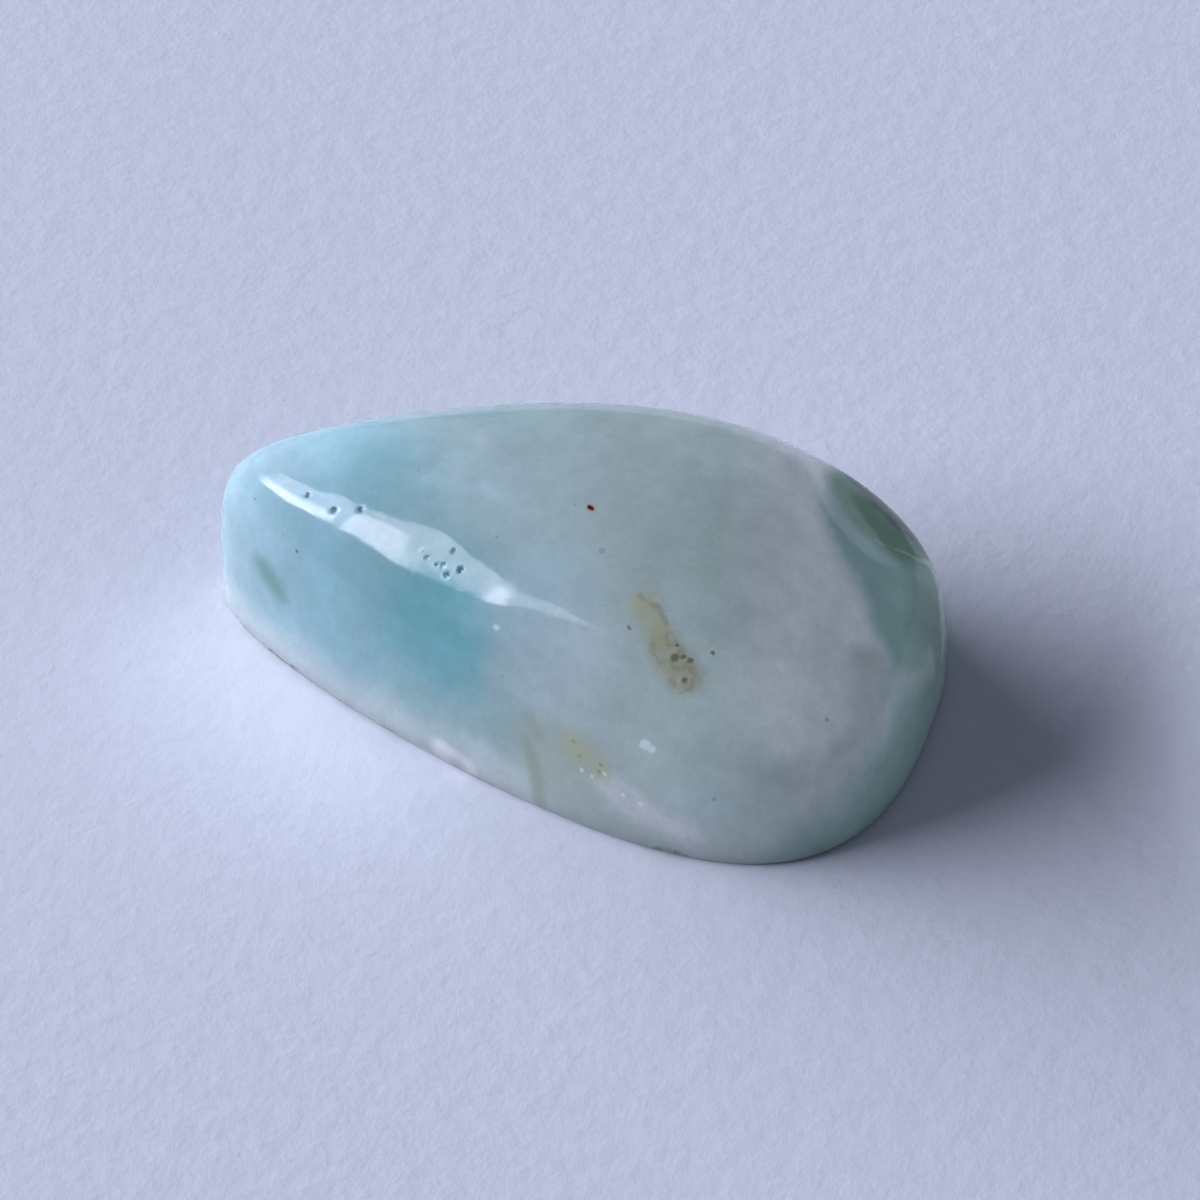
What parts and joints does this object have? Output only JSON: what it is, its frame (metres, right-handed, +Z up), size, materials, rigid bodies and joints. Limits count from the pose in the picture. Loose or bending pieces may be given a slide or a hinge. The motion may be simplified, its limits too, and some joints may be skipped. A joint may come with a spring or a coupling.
{
  "type": "opal cabochon",
  "caption": "Drop-shaped polished opal with a flat back and a domed face, translucent blue-green with pale clouds and a few ochre inclusions.",
  "frame": {"origin": "middle of the flat back's box, on the surface it rests on", "axes": "+X from the pointed tip to the round end, +Y to the back side as pictured, +Z up out of the dome"},
  "size_m": [0.024, 0.015, 0.0087],
  "materials": {
    "opal": "polished translucent blue-green opal with pale clouds and ochre inclusions"
  },
  "bodies": {
    "root": {"opal": "opal"}
  },
  "joints": []
}
